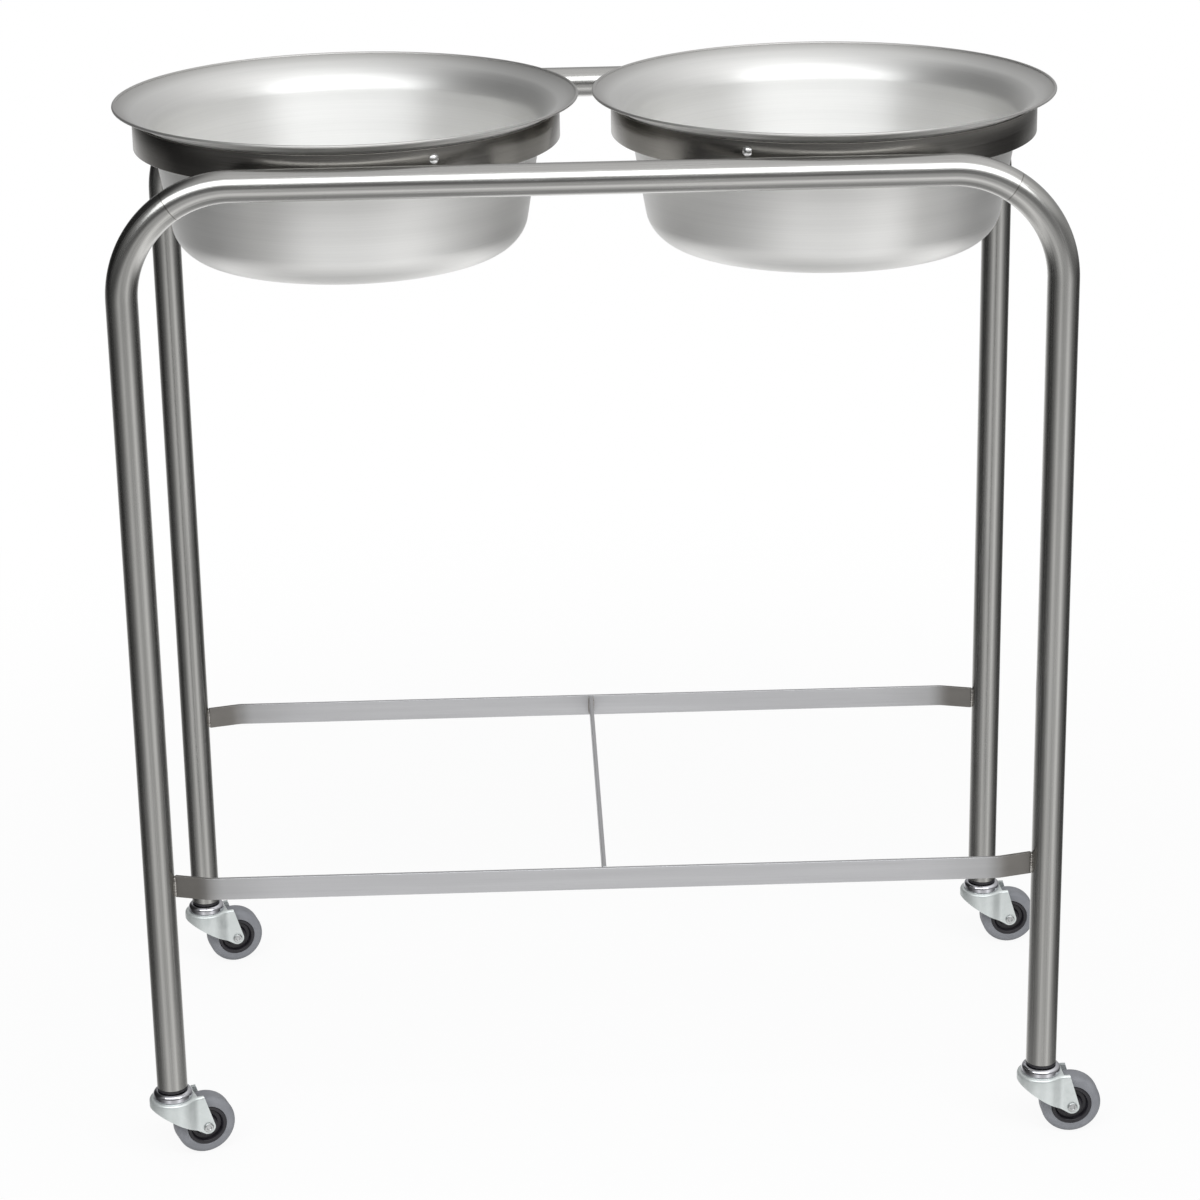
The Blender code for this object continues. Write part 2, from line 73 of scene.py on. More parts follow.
def vectorNode(tree, operation, *inputs):
    node = addNode(tree, "ShaderNodeVectorMath", {"operation": operation}, dict(enumerate(inputs)))
    return node.outputs["Value" if operation in ("LENGTH", "DOT_PRODUCT") else "Vector"]


def rangeNode(tree, value, start, finish, before=0.0, after=1.0, kind="LINEAR"):
    return addNode(tree, "ShaderNodeMapRange", {"interpolation_type": kind}, {
        "Value": value, "From Min": start, "From Max": finish, "To Min": before, "To Max": after,
    }).outputs["Result"]


def mixNode(tree, share, first, second):
    node = addNode(tree, "ShaderNodeMix", {"data_type": "FLOAT"}, {0: share, 2: first, 3: second})
    return node.outputs[0]


def groupNode(tree, group, inputs):
    return addNode(tree, "ShaderNodeGroup", {"node_tree": group}, inputs)


def objectPlace(tree):
    return addNode(tree, "ShaderNodeTexCoord").outputs["Object"]


def rampNode(tree, value, stops):
    ramp = addNode(tree, "ShaderNodeValToRGB", inputs={"Fac": value})
    points = ramp.color_ramp.elements
    while len(points) < len(stops):
        points.new(0.5)
    for point, (position, level) in zip(points, stops):
        point.position = position
        point.color = (level, level, level, 1.0) if isinstance(level, float) else (*level, 1.0)
    return ramp.outputs["Color"]


def newGroup(name, inputs, outputs):
    group = bpy.data.node_groups.new(name, "ShaderNodeTree")
    for label, kind in inputs:
        group.interface.new_socket(label, in_out="INPUT", socket_type=kind)
    for label, kind in outputs:
        group.interface.new_socket(label, in_out="OUTPUT", socket_type=kind)
    start = group.nodes.new("NodeGroupInput")
    end = group.nodes.new("NodeGroupOutput")
    return group, start, end


brushLook = {
    "coarse": (0.25, 0.07, 0.07),   # streaks against the fine lines
    "lines": {"Scale": 1.0, "Detail": 3.0, "Roughness": 0.65},
    "streaks": {"Scale": 1.0, "Detail": 2.0, "Roughness": 0.5},
    "span": (0.30, 0.70),           # of the noise, from dark to light
    "depth": 0.02 * mm,
}
markLook = {
    "noise": {"Detail": 4.0, "Roughness": 0.6, "Distortion": 0.4},
    "span": [(0.35, 0.0), (0.70, 1.0)],
}
grainLook = {"detail": 2.0, "depth": 0.05 * mm}


# fine parallel lines and broader streaks, along the vector's X
def makeBrushLines():
    group, start, end = newGroup(
        "brushLines",
        [("Vector", "NodeSocketVector"), ("Length", "NodeSocketFloat"), ("Fineness", "NodeSocketFloat")],
        [("Lines", "NodeSocketFloat"), ("Streaks", "NodeSocketFloat")],
    )
    length, fineness = start.outputs["Length"], start.outputs["Fineness"]
    stretch = addNode(group, "ShaderNodeCombineXYZ", inputs={"X": length, "Y": fineness, "Z": fineness})
    fine = vectorNode(group, "MULTIPLY", start.outputs["Vector"], stretch.outputs[0])
    coarse = vectorNode(group, "MULTIPLY", fine, brushLook["coarse"])
    for label, vector, noise in (("Lines", fine, "lines"), ("Streaks", coarse, "streaks")):
        pattern = addNode(group, "ShaderNodeTexNoise", inputs={"Vector": vector, **brushLook[noise]})
        group.links.new(pattern.outputs["Fac"], end.inputs[label])
    return group


# a vector turned into (way round, height, radius) about Z, for work done on a lathe
def makeRoundWork():
    group, start, end = newGroup(
        "roundWork",
        [("Vector", "NodeSocketVector")],
        [("Vector", "NodeSocketVector")],
    )
    vector = start.outputs["Vector"]
    split = addNode(group, "ShaderNodeSeparateXYZ", inputs={0: vector})
    angle = mathNode(group, "ARCTAN2", split.outputs["Y"], split.outputs["X"])
    radius = vectorNode(group, "LENGTH", vectorNode(group, "MULTIPLY", vector, (1.0, 1.0, 0.0)))
    fold = mathNode(group, "ABSOLUTE", angle)
    joined = addNode(group, "ShaderNodeCombineXYZ", inputs={
        "X": fold, "Y": split.outputs["Z"], "Z": radius,
    })
    group.links.new(joined.outputs[0], end.inputs["Vector"])
    return group


# soft uneven patches left by hands and wiping
def makeHandMarks():
    group, start, end = newGroup(
        "handMarks",
        [("Vector", "NodeSocketVector"), ("Size", "NodeSocketFloat")],
        [("Marks", "NodeSocketFloat")],
    )
    patches = addNode(group, "ShaderNodeTexNoise", inputs={
        "Vector": start.outputs["Vector"], "Scale": start.outputs["Size"], **markLook["noise"],
    })
    group.links.new(rampNode(group, patches.outputs["Fac"], markLook["span"]), end.inputs["Marks"])
    return group


brushLines = makeBrushLines()
roundWork = makeRoundWork()
handMarks = makeHandMarks()
print("shared effects ready")


# metal whose brushing follows the piece

def startMaterial(name, metallic):
    material = bpy.data.materials.new(name)
    material.use_nodes = True
    tree = material.node_tree
    shader = tree.nodes["Principled BSDF"]
    shader.inputs["Metallic"].default_value = metallic
    return material, tree, shader


def addBump(tree, shader, height, strength, depth):
    bump = addNode(tree, "ShaderNodeBump", inputs={
        "Height": height, "Strength": strength, "Distance": depth,
    })
    tree.links.new(bump.outputs["Normal"], shader.inputs["Normal"])


def pieceVector(tree, look):
    if look.get("attribute"):
        name = look["attribute"]
        return addNode(tree, "ShaderNodeAttribute", {"attribute_name": name}).outputs["Vector"]
    mapping = addNode(tree, "ShaderNodeMapping", {"vector_type": "TEXTURE"}, {
        "Vector": objectPlace(tree),
        "Location": look.get("centre", (0, 0, 0)),
        "Rotation": look.get("turn", (0, 0, 0)),
    })
    if not look.get("round"):
        return mapping.outputs["Vector"]
    return groupNode(tree, roundWork, {"Vector": mapping.outputs["Vector"]}).outputs["Vector"]


def brushedMetal(name, look):
    material, tree, shader = startMaterial(name, look.get("metallic", 1.0))
    vector = pieceVector(tree, look)
    brush = groupNode(tree, brushLines, {
        "Vector": vector, "Length": look["length"], "Fineness": look["fineness"],
    })
    marks = groupNode(tree, handMarks, {"Vector": objectPlace(tree), "Size": look["markSize"]})
    lines = brush.outputs["Lines"]
    dull, bright = brushLook["span"]

    rest = mathNode(tree, "MULTIPLY", brush.outputs["Streaks"], 1.0 - look["lineShare"])
    both = mathNode(tree, "MULTIPLY_ADD", lines, look["lineShare"], rest)
    colour = rampNode(tree, both, [(dull, look["dark"]), (bright, look["light"])])
    for band in look.get("bands", ()):
        colour = toneBand(tree, vector, colour, band)
    tree.links.new(colour, shader.inputs["Base Color"])

    rough = rangeNode(tree, lines, dull, bright, look["smooth"], look["rough"])
    wiped = mathNode(tree, "MULTIPLY_ADD", marks.outputs["Marks"], look["markDepth"], rough)
    tree.links.new(wiped, shader.inputs["Roughness"])
    addBump(tree, shader, lines, look["bump"], brushLook["depth"])
    if look.get("spread"):
        shader.inputs["Anisotropic"].default_value = look["spread"]
        shader.inputs["Anisotropic Rotation"].default_value = 0.25     # a quarter turn, across the lines
        around = addNode(tree, "ShaderNodeTangent", {"direction_type": "RADIAL", "axis": "Z"})
        tree.links.new(around.outputs["Tangent"], shader.inputs["Tangent"])
    return material


# a change of tone that starts at a distance from a middle, along one axis of the vector, and may end again
def toneBand(tree, vector, colour, band):
    split = addNode(tree, "ShaderNodeSeparateXYZ", inputs={0: vector})
    shift = mathNode(tree, "SUBTRACT", split.outputs[band.get("axis", "X")], band["middle"])
    away = mathNode(tree, "ABSOLUTE", shift)
    mask = edgeMask(tree, away, band["start"], band["fade"], 0.0, 1.0)
    if band.get("end"):
        closing = edgeMask(tree, away, band["end"], band["fade"], 1.0, 0.0)
        mask = mathNode(tree, "MULTIPLY", mask, closing)
    tint = addNode(tree, "ShaderNodeMix", {"data_type": "RGBA", "blend_type": "MULTIPLY"}, {
        0: mask, 6: colour, 7: (*band["tint"], 1.0),
    })
    return tint.outputs[2]


def edgeMask(tree, value, edge, fade, before, after):
    return rangeNode(tree, value, edge - fade, edge + fade, before, after, "SMOOTHSTEP")


# moulded and plated surfaces: even colour with soft patches

def patchedSurface(name, look):
    material, tree, shader = startMaterial(name, look["metallic"])
    place = objectPlace(tree)
    marks = groupNode(tree, handMarks, {"Vector": place, "Size": look["patchSize"]}).outputs["Marks"]
    tone = rampNode(tree, marks, [(0.0, look["dark"]), (1.0, look["light"])])
    tree.links.new(tone, shader.inputs["Base Color"])
    rough = rangeNode(tree, marks, 0.0, 1.0, look["smooth"], look["rough"])
    tree.links.new(rough, shader.inputs["Roughness"])
    grain = addNode(tree, "ShaderNodeTexNoise", inputs={
        "Vector": place, "Scale": look["grainSize"], "Detail": grainLook["detail"],
    })
    addBump(tree, shader, grain.outputs["Fac"], look["bump"], grainLook["depth"])
    return material


zincPlate = patchedSurface("zincPlate", {
    "metallic": 0.65, "dark": (0.64, 0.68, 0.67), "light": (0.73, 0.76, 0.755),
    "smooth": 0.38, "rough": 0.48, "patchSize": 90.0, "grainSize": 900.0, "bump": 0.03,
})
cupChrome = patchedSurface("cupChrome", {
    "metallic": 1.0, "dark": (0.60, 0.60, 0.64), "light": (0.68, 0.68, 0.71),
    "smooth": 0.06, "rough": 0.14, "patchSize": 120.0, "grainSize": 1500.0, "bump": 0.03,
})
rivetSteel = patchedSurface("rivetSteel", {
    "metallic": 1.0, "dark": (0.66, 0.66, 0.66), "light": (0.78, 0.78, 0.78),
    "smooth": 0.22, "rough": 0.32, "patchSize": 300.0, "grainSize": 2000.0, "bump": 0.05,
})
axleSteel = patchedSurface("axleSteel", {
    "metallic": 1.0, "dark": (0.44, 0.45, 0.45), "light": (0.56, 0.57, 0.57),
    "smooth": 0.28, "rough": 0.40, "patchSize": 300.0, "grainSize": 1600.0, "bump": 0.05,
})
weldSteel = patchedSurface("weldSteel", {
    "metallic": 1.0, "dark": (0.34, 0.32, 0.30), "light": (0.62, 0.60, 0.57),
    "smooth": 0.26, "rough": 0.44, "patchSize": 260.0, "grainSize": 1200.0, "bump": 0.25,
})
collarPlastic = patchedSurface("collarPlastic", {
    "metallic": 0.0, "dark": (0.010, 0.009, 0.012), "light": (0.020, 0.018, 0.024),
    "smooth": 0.35, "rough": 0.50, "patchSize": 150.0, "grainSize": 1800.0, "bump": 0.15,
})
hubPlastic = patchedSurface("hubPlastic", {
    "metallic": 0.0, "dark": (0.008, 0.007, 0.010), "light": (0.018, 0.016, 0.022),
    "smooth": 0.38, "rough": 0.55, "patchSize": 140.0, "grainSize": 1500.0, "bump": 0.20,
})
tyreRubber = patchedSurface("tyreRubber", {
    "metallic": 0.0, "dark": (0.205, 0.210, 0.228), "light": (0.255, 0.260, 0.280),
    "smooth": 0.50, "rough": 0.68, "patchSize": 60.0, "grainSize": 1100.0, "bump": 0.20,
})
print("plated, moulded and rubber finishes ready")


# mesh helpers

def pick(items, kind):
    return [item for item in items if isinstance(item, kind)]


def lathe(points, steps):
    shape = bmesh.new()
    verts = [shape.verts.new((r, 0.0, z)) for r, z in points]
    edges = [shape.edges.new(pair) for pair in zip(verts, verts[1:])]
    bmesh.ops.spin(shape, geom=verts + edges, axis=(0, 0, 1), angle=2 * pi, steps=steps, use_merge=True)
    bmesh.ops.remove_doubles(shape, verts=shape.verts, dist=tiny)
    bmesh.ops.recalc_face_normals(shape, faces=shape.faces)
    return shape


# rounds the circle of edges that lies at that radius and height
def roundCircle(shape, radius, height, width, segments):
    def onCircle(vert):
        away = hypot(vert.co.x, vert.co.y) - radius
        return abs(away) < 10 * tiny and abs(vert.co.z - height) < 10 * tiny
    loop = [edge for edge in shape.edges if all(onCircle(vert) for vert in edge.verts)]
    bmesh.ops.bevel(
        shape, geom=loop, offset=width, offset_type="OFFSET", affect="EDGES",
        segments=segments, profile=0.5, material=-1, clamp_overlap=False,
    )


def layOn(shape, direction, place):
    turn = Vector((0, 0, 1)).rotation_difference(Vector(direction)).to_matrix()
    bmesh.ops.rotate(shape, verts=shape.verts, matrix=turn)
    bmesh.ops.translate(shape, verts=shape.verts, vec=place)


def finishPiece(name, shape, material, body, nodes=(), sharp=40.0, wall=0.0, edge=0.0):
    shape.edges.index_update()
    openEdges = [one.index for one in shape.edges if one.is_boundary]
    mesh = bpy.data.meshes.new(name)
    shape.to_mesh(mesh)
    shape.free()
    mesh.materials.append(material)
    mesh.shade_smooth()
    mesh.set_sharp_from_angle(angle=radians(sharp))
    for index in openEdges:
        mesh.edges[index].use_edge_sharp = True     # the cut end of a wall stays crisp
    piece = bpy.data.objects.new(name, mesh)
    bpy.context.scene.collection.objects.link(piece)
    if wall:
        solid = piece.modifiers.new("wall", "SOLIDIFY")
        solid.thickness = wall
        solid.offset = -1.0
        solid.use_even_offset = True
    if edge:
        soft = piece.modifiers.new("edge", "BEVEL")
        soft.width = edge
        soft.segments = 2
        soft.limit_method = "ANGLE"
        soft.angle_limit = radians(55.0)
        soft.harden_normals = True
    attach(piece, body)
    if nodes:
        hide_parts(*nodes)
    return piece


# a section pushed along straights and round bends, in one unbroken skin

def pushOn(shape, end, move):
    grown = bmesh.ops.extrude_edge_only(shape, edges=end)["geom"]
    bmesh.ops.translate(shape, verts=pick(grown, bmesh.types.BMVert), vec=move)
    return pick(grown, bmesh.types.BMEdge)


def lastLoop(edges, verts):
    ends = set(verts)
    return [edge for edge in edges if all(vert in ends for vert in edge.verts)]


def bendOn(shape, end, centre, axis, angle, steps):
    last = bmesh.ops.spin(shape, geom=end, cent=centre, axis=axis, angle=angle, steps=steps)["geom_last"]
    return pick(last, bmesh.types.BMEdge)


# bent tube frames

tubeLook = {
    "sides": 64,
    "bendSteps": 36,
    "bendRadius": 89.0 * mm,
    "wall": 1.5 * mm,
    "polishEdge": radians(33.0),    # in the bend, from the rail's end
    "polishLine": 0.3 * mm,
}


def makeFrameTube(side):
    low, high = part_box(side + "_frame_tube")
    radius = (high.y - low.y) / 2
    half = high.x - radius
    middle = (low.y + high.y) / 2
    railHeight = high.z - radius
    bend = tubeLook["bendRadius"]
    bendHeight = railHeight - bend
    legRun = bendHeight - low.z
    railRun = 2 * (half - bend)
    shape = bmesh.new()
    bmesh.ops.create_circle(shape, segments=tubeLook["sides"], radius=radius)
    bmesh.ops.translate(shape, verts=shape.verts, vec=(-half, middle, low.z))
    end = shape.edges[:]
    legEnd = pushOn(shape, end, (0, 0, legRun))
    end = lastLoop(legEnd, [vert for vert in shape.verts if vert.co.z > bendHeight - mm])
    quarter = {"axis": (0, 1, 0), "angle": pi / 2, "steps": tubeLook["bendSteps"]}
    end = bendOn(shape, end, (bend - half, middle, bendHeight), **quarter)
    railEnd = pushOn(shape, end, (railRun, 0, 0))
    end = lastLoop(railEnd, [vert for vert in shape.verts if vert.co.x > half - bend - mm])
    end = bendOn(shape, end, (half - bend, middle, bendHeight), **quarter)
    pushOn(shape, end, (0, 0, -legRun))
    bmesh.ops.remove_doubles(shape, verts=shape.verts, dist=tiny)
    bmesh.ops.recalc_face_normals(shape, faces=shape.faces)

    # how far each point is along the tube, and where it is round it
    arcRun = bend * pi / 2
    whole = 2 * (legRun + arcRun) + railRun
    grain = shape.verts.layers.float_vector.new("grain")
    for vert in shape.verts:
        x, z = abs(vert.co.x), vert.co.z
        if z <= bendHeight:
            along, out = z - low.z, x - half
        elif x >= half - bend:
            angle = atan2(z - bendHeight, x - half + bend)
            along = legRun + bend * angle
            out = hypot(x - half + bend, z - bendHeight) - bend
        else:
            along, out = legRun + arcRun + (half - bend - x), z - railHeight
        if vert.co.x > 0:
            along = whole - along
        vert[grain] = (along, out, vert.co.y - middle)

    passEdge = railRun / 2 + bend * tubeLook["polishEdge"]
    line = tubeLook["polishLine"]
    material = brushedMetal(side + "TubeSteel", {
        "attribute": "grain", "length": 9.0, "fineness": 1500.0, "lineShare": 0.45, "markSize": 14.0,
        "dark": (0.38, 0.376, 0.363), "light": (0.50, 0.496, 0.483),
        "smooth": 0.15, "rough": 0.26, "markDepth": 0.05, "bump": 0.10,
        # the legs were polished apart from the rail; a fine line in each bend shows where the passes meet
        "bands": [
            {"middle": whole / 2, "start": passEdge, "fade": 0.5 * mm, "tint": (0.95, 0.95, 0.945)},
            {
                "middle": whole / 2, "start": passEdge - line, "end": passEdge + line,
                "fade": 0.2 * mm, "tint": (0.45, 0.44, 0.42),
            },
        ],
    })
    finishPiece(
        side + "FrameTube", shape, material, "frame",
        [side + "_frame_tube"], wall=tubeLook["wall"],
    )


for side in ("front", "rear"):
    makeFrameTube(side)
print("frame tubes bent")


# brace bars: flat strip on edge

barLook = {
    "strip": 3.2 * mm,
    "bow": 8.0 * mm,
    "endRun": 28.0 * mm,
    "bendRadius": 22.0 * mm,
    "bendSteps": 14,
    "edge": 0.45 * mm,
    "bands": [      # painted shade: darker towards the bent ends, which are turned away from the light
        {"before": 2.0 * mm, "fade": 12.0 * mm, "tint": (0.45, 0.43, 0.40)},
        {"before": 30.0 * mm, "fade": 40.0 * mm, "tint": (0.80, 0.80, 0.79)},
    ],
}
barSteel = {
    "length": 14.0, "fineness": 1900.0, "lineShare": 0.55, "markSize": 18.0,
    "dark": (0.55, 0.55, 0.562), "light": (0.66, 0.66, 0.672),
    "smooth": 0.38, "rough": 0.54, "markDepth": 0.06, "bump": 0.22,
}


def makeBraceBar(side):
    low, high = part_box(side + "_brace_bar")
    strip = barLook["strip"]
    slope = atan2(barLook["bow"], barLook["endRun"])
    reach = high.x - strip / 2 * sin(slope)
    outer = low.y + strip / 2 if side == "front" else high.y - strip / 2
    facing = -1.0 if side == "front" else 1.0
    inner = outer - facing * barLook["bow"]
    lead = barLook["bendRadius"] * tan(slope / 2)
    endLength = hypot(barLook["bow"], barLook["endRun"]) - lead
    mainLength = 2 * (reach - barLook["endRun"] - lead)
    along = Vector((cos(slope), facing * sin(slope), 0))
    across = Vector((-along.y, along.x, 0)) * strip / 2
    upright = Vector((0, 0, (high.z - low.z) / 2))
    centre = Vector((-reach, inner, (low.z + high.z) / 2))
    shape = bmesh.new()
    corners = [centre + s * across + t * upright for s, t in ((-1, -1), (1, -1), (1, 1), (-1, 1))]
    section = shape.faces.new([shape.verts.new(corner) for corner in corners])
    end = section.edges[:] + section.verts[:] + [section]

    def extend(end, move):
        grown = bmesh.ops.extrude_face_region(shape, geom=end)["geom"]
        bmesh.ops.translate(shape, verts=pick(grown, bmesh.types.BMVert), vec=move)
        return grown

    def turn(end, pivot, angle):
        return bmesh.ops.spin(
            shape, geom=end, cent=pivot, axis=(0, 0, 1), angle=angle, steps=barLook["bendSteps"],
        )["geom_last"]

    pivotSide = outer - facing * barLook["bendRadius"]
    pivotX = mainLength / 2
    end = extend(end, along * endLength)
    end = turn(end, (-pivotX, pivotSide, 0), -facing * slope)
    end = extend(end, (mainLength, 0, 0))
    end = turn(end, (pivotX, pivotSide, 0), -facing * slope)
    extend(end, Vector((along.x, -along.y, 0)) * endLength)
    bmesh.ops.recalc_face_normals(shape, faces=shape.faces)
    finishPiece(
        side + "BraceBar", shape, shadedEndBraceSteel, "frame",
        [side + "_brace_bar"], sharp=30.0, edge=barLook["edge"],
    )
    return reach, inner


def makeCrossBar():
    low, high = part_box("cross_brace_bar")
    shape = bmesh.new()
    corners = [(low.x, low.z), (high.x, low.z), (high.x, high.z), (low.x, high.z)]
    section = shape.faces.new([shape.verts.new((x, low.y, z)) for x, z in corners])
    grown = bmesh.ops.extrude_face_region(shape, geom=[section])["geom"]
    bmesh.ops.translate(shape, verts=pick(grown, bmesh.types.BMVert), vec=(0, high.y - low.y, 0))
    bmesh.ops.recalc_face_normals(shape, faces=shape.faces)
    finishPiece(
        "crossBraceBar", shape, crossSteel, "frame",
        ["cross_brace_bar"], sharp=30.0, edge=barLook["edge"],
    )


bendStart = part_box("front_brace_bar")[1].x - barLook["endRun"]
# painted shade darkens the front and rear bars towards their bent ends
shadedEndBraceSteel = brushedMetal("shadedEndBraceSteel", {**barSteel, "bands": [
    {"middle": 0.0, "start": bendStart - band["before"], "fade": band["fade"], "tint": band["tint"]}
    for band in barLook["bands"]
]})
crossSteel = brushedMetal("crossSteel", {**barSteel, "turn": (0, 0, pi / 2)})
barEnds = {side: makeBraceBar(side) for side in ("front", "rear")}
makeCrossBar()
print("brace bars bent")


# weld beads: a round bead with a ripple for each dab of the torch

weldLook = {
    "sides": 12,
    "stepsPerRipple": 6,
    "ripple": 0.16,
    "endShare": 0.25,       # of the radius, at the two ends
    "endPower": 6,
    "short": 1.0 * mm,      # of the strip's edges
    "aside": 0.3 * mm,
    "proud": 0.4 * mm,
    "brace": {"radius": 1.25 * mm, "ripples": 7},
    "cross": {"radius": 1.0 * mm, "ripples": 7},
    "hoop": {"radius": 1.7 * mm, "ripples": 8},
    "hoopHalf": 11.0 * mm,
    "hoopRise": 6.5 * mm,   # over the rail's middle
    "hoopProud": 0.7 * mm,
}


def makeWeld(name, start, finish, radius, ripples):
    start, finish = Vector(start), Vector(finish)
    run = finish - start
    steps = ripples * weldLook["stepsPerRipple"]
    shape = bmesh.new()
    bmesh.ops.create_circle(shape, segments=weldLook["sides"], radius=radius)
    end = shape.edges[:]
    for step in range(steps):
        end = pushOn(shape, end, (0, 0, run.length / steps))
        top = run.length * (step + 1) / steps
        end = lastLoop(end, [vert for vert in shape.verts if abs(vert.co.z - top) < tiny])
    for vert in shape.verts:
        share = vert.co.z / run.length
        swell = 1.0 - weldLook["ripple"] * (0.5 + 0.5 * cos(2 * pi * ripples * share))
        endShare = weldLook["endShare"]
        taper = (1.0 - (2 * share - 1.0) ** weldLook["endPower"]) * (1.0 - endShare) + endShare
        vert.co.x *= swell * taper
        vert.co.y *= swell * taper
    ends = [edge for edge in shape.edges if edge.is_boundary]
    bmesh.ops.edgenet_fill(shape, edges=ends)
    bmesh.ops.recalc_face_normals(shape, faces=shape.faces)
    layOn(shape, run.normalized(), start)
    finishPiece(name, shape, weldSteel, "frame", sharp=60.0)


def makeWelds():
    tubeLow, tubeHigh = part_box("front_frame_tube")
    railHeight = tubeHigh.z - (tubeHigh.y - tubeLow.y) / 2
    short, aside, proud = weldLook["short"], weldLook["aside"], weldLook["proud"]
    for side, (reach, inner) in barEnds.items():
        low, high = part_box(side + "_brace_bar")
        outward = -1.0 if side == "front" else 1.0
        for label, hand in (("Left", -1), ("Right", 1)):
            for face, shift in (("Outer", outward), ("Inner", -outward)):
                x = hand * (reach + aside)
                y = inner + shift * (barLook["strip"] / 2 + proud)
                start, finish = (x, y, low.z + short), (x, y, high.z - short)
                makeWeld(f"{side}{label}{face}BraceWeld", start, finish, **weldLook["brace"])
    low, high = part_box("cross_brace_bar")
    for side, y in (("front", low.y + proud), ("rear", high.y - proud)):
        for label, x in (("Left", low.x - aside), ("Right", high.x + aside)):
            start, finish = (x, y, low.z + short), (x, y, high.z - short)
            makeWeld(f"{side}{label}CrossWeld", start, finish, **weldLook["cross"])
    for hoop in ("left", "right"):
        low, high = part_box(hoop + "_basin_ring")
        centre = (low.x + high.x) / 2
        half, out = weldLook["hoopHalf"], weldLook["hoopProud"]
        z = railHeight + weldLook["hoopRise"]
        for side, y in (("front", low.y - out), ("rear", high.y + out)):
            start, finish = (centre - half, y, z), (centre + half, y, z)
            makeWeld(f"{side}{hoop.capitalize()}HoopWeld", start, finish, **weldLook["hoop"])


makeWelds()
print("welds laid")


# hoops, rivets and basins

hoopLook = {"steps": 216, "strip": 3.2 * mm, "edge": 0.5 * mm, "edgeSteps": 3}
rivetLook = {
    "steps": 40,
    "domeSteps": 8,
    "head": 4.0 * mm,
    "height": 1.8 * mm,
    "shank": 2.0 * mm,
    "tail": 3.0 * mm,
    "tailHeight": 1.0 * mm,
}
basinLook = {
    "steps": 216,
    "sheet": 1.1 * mm,
    "mouth": 161.8 * mm,
    "rimAngle": radians(24.5),
    "taper": radians(9.8),
    "cornerRadius": 30.0 * mm,
    "cornerSteps": 16,
    "rimBend": 26.0 * mm,
    "rimBendSteps": 18,
    "rimBead": 1.25 * mm,
    "beadSteps": 14,
    "edge": 0.25 * mm,
    # painted shade on the flange's outer ring: its width, fade and tint
    "rimShadeBand": 9.0 * mm,
    "rimShadeFade": 8.0 * mm,
    "rimShadeTint": (0.68, 0.675, 0.67),
}


def makeHoop(side):
    low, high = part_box(side + "_basin_ring")
    centre = (low + high) / 2
    outside = (high.y - low.y) / 2
    inside = outside - hoopLook["strip"]
    corners = [(outside, low.z), (outside, high.z), (inside, high.z), (inside, low.z)]
    shape = lathe(corners + corners[:1], hoopLook["steps"])
    for radius, height in corners:
        roundCircle(shape, radius, height, hoopLook["edge"], hoopLook["edgeSteps"])
    bmesh.ops.translate(shape, verts=shape.verts, vec=(centre.x, centre.y, 0))
    material = brushedMetal(side + "HoopSteel", {
        "centre": tuple(centre), "round": True,
        "length": 3.0, "fineness": 1900.0, "lineShare": 0.65, "markSize": 20.0,
        "dark": (0.265, 0.255, 0.238), "light": (0.385, 0.373, 0.352),
        "smooth": 0.14, "rough": 0.23, "markDepth": 0.05, "bump": 0.10,
    })
    finishPiece(side + "Hoop", shape, material, "frame", [side + "_basin_ring"])


def makeRivet(side):
    low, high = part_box(side + "_ring_rivet")
    hoopLow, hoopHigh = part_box(side + "_basin_ring")
    hoopCentre = (hoopLow + hoopHigh) / 2
    outside = (hoopHigh.y - hoopLow.y) / 2
    spot = (low + high) / 2
    outward = Vector((spot.x - hoopCentre.x, spot.y - hoopCentre.y, 0)).normalized()
    head, height = rivetLook["head"], rivetLook["height"]
    dome = (head ** 2 + height ** 2) / (2 * height)
    rise = acos((dome - height) / dome)
    steps = rivetLook["domeSteps"]
    angles = [rise * (steps - i) / steps for i in range(steps)]
    crown = [(dome * sin(angle), height - dome + dome * cos(angle)) for angle in angles]
    back = -hoopLook["strip"]
    end = back - rivetLook["tailHeight"]
    tail = rivetLook["tail"]
    shank = rivetLook["shank"]
    profile = [(0, end), (tail, end), (tail, back), (shank, back), (shank, 0), (head, 0)]
    shape = lathe(profile + crown[1:] + [(0, height)], rivetLook["steps"])
    seat = hoopCentre + outward * outside
    layOn(shape, outward, (seat.x, seat.y, spot.z))
    finishPiece(side + "HoopRivet", shape, rivetSteel, "frame", [side + "_ring_rivet"])


